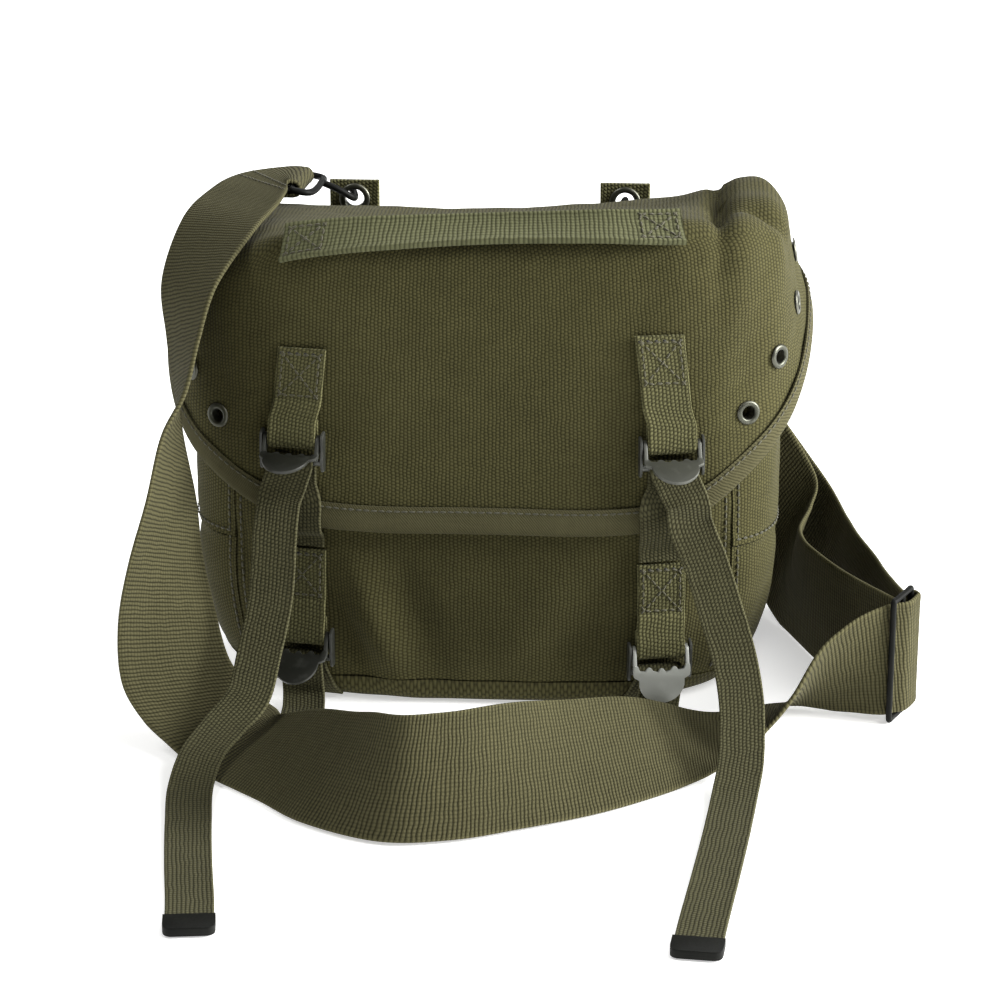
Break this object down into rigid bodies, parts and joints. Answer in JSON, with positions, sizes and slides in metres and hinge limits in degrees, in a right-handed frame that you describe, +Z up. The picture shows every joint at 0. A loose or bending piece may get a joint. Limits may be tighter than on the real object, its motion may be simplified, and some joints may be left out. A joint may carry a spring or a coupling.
{
  "type": "field pack",
  "caption": "Canvas field pack with a soft rounded-box body, a buckled flap with side wings, webbing closure straps, a carry handle and a wide adjustable shoulder strap.",
  "frame": {"origin": "middle of the flat base, on the surface that the pack stands on", "axes": "+Z up, -Y out of the front with the flap's straight edge, +X to the right when looking at the front"},
  "size_m": [0.3314, 0.3673, 0.2173],
  "materials": {
    "canvas": "olive cotton duck, matt",
    "tape": "olive twill binding tape, matt",
    "webbing": "olive cotton webbing, matt",
    "metal": "dark phosphated steel"
  },
  "bodies": {
    "root": {"front_panel": "canvas", "back_panel": "canvas", "bottom_panel": "canvas", "side_lower_left": "canvas", "side_lower_right": "canvas", "side_upper_left": "canvas", "side_upper_right": "canvas", "flap": "canvas", "flap_binding": "tape", "carry_handle": "webbing", "shoulder_strap": "webbing", "upper_chape_left": "webbing", "lower_chape_left": "webbing", "closure_strap_left": "webbing", "bottom_strap_left": "webbing", "back_tab_left": "webbing", "upper_chape_right": "webbing", "lower_chape_right": "webbing", "closure_strap_right": "webbing", "bottom_strap_right": "webbing", "back_tab_right": "webbing", "strap_slider": "metal", "hook_left": "metal", "hook_right": "metal", "upper_frame_left": "metal", "upper_lever_left": "metal", "lower_frame_left": "metal", "lower_lever_left": "metal", "strap_tip_left": "metal", "tab_eyelet_left": "metal", "flap_eyelet_left_1": "metal", "flap_eyelet_left_2": "metal", "flap_eyelet_left_3": "metal", "flap_eyelet_left_4": "metal", "upper_frame_right": "metal", "upper_lever_right": "metal", "lower_frame_right": "metal", "lower_lever_right": "metal", "strap_tip_right": "metal", "tab_eyelet_right": "metal", "flap_eyelet_right_1": "metal", "flap_eyelet_right_2": "metal", "flap_eyelet_right_3": "metal", "flap_eyelet_right_4": "metal"}
  },
  "joints": []
}
